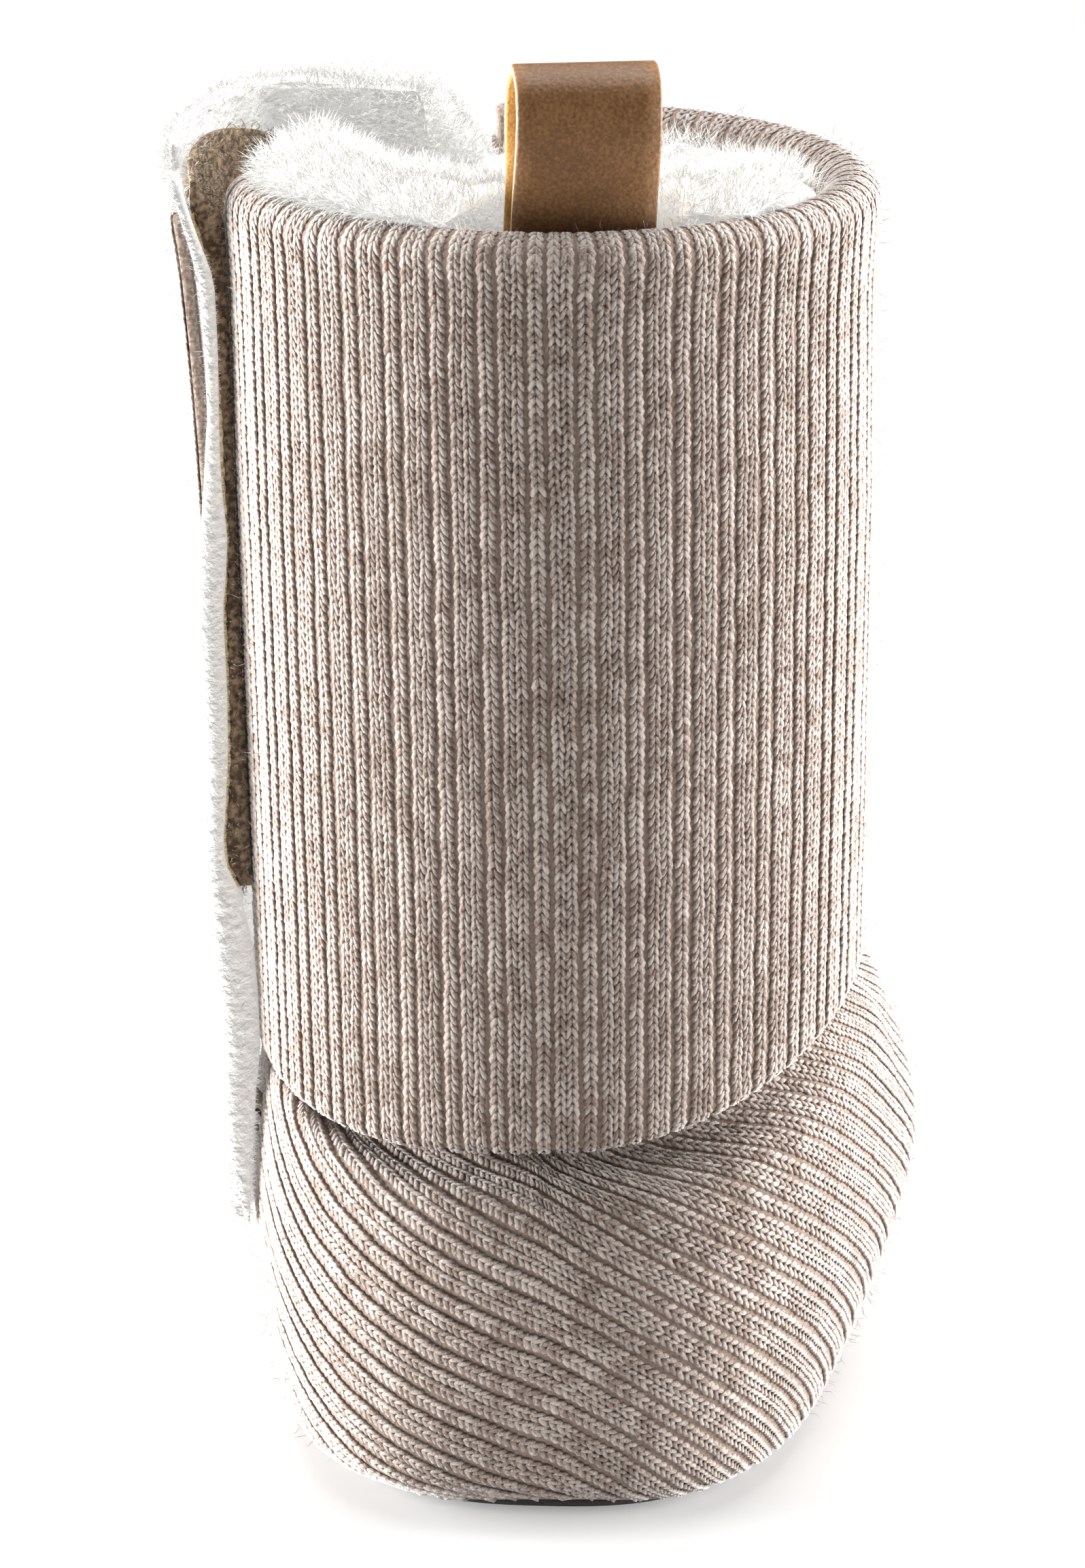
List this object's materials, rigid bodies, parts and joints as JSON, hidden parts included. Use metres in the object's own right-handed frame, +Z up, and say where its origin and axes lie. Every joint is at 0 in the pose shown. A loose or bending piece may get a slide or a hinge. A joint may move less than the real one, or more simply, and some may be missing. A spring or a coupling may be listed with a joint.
{
  "type": "knitted baby bootie",
  "caption": "Tall soft knitted baby bootie with a deep pile lining, a side flap held by a fuzzy strip, a leather pull loop at the heel and a thin grip sole.",
  "frame": {"origin": "on the floor, on the flat heel spot of the sole's underside, under the middle of the shaft", "axes": "+Z up, +Y towards the toe, +X to the bootie's right; the flap is on its left side, towards -X, and the pull loop is at the heel, towards -Y"},
  "size_m": [0.0981, 0.1383, 0.1943],
  "materials": {
    "sole_grip": "matte dark grey grip print",
    "insole_fleece": "short cream fleece",
    "foot_knit": "ribbed knit of grey and beige flecked yarn",
    "shaft_knit": "ribbed knit of grey and beige flecked yarn",
    "flap_knit": "ribbed knit of grey and beige flecked yarn",
    "loop_tape": "fuzzy brown loop tape",
    "white_pile": "long soft off-white pile",
    "tan_leather": "smooth tan leather with raw cream edges"
  },
  "bodies": {
    "root": {"sole": "sole_grip", "insole": "insole_fleece", "upper": "foot_knit", "shaft": "shaft_knit", "closure_flap": "flap_knit", "fastening_pad": "loop_tape", "plush_lining": "white_pile", "pull_loop": "tan_leather"}
  },
  "joints": []
}
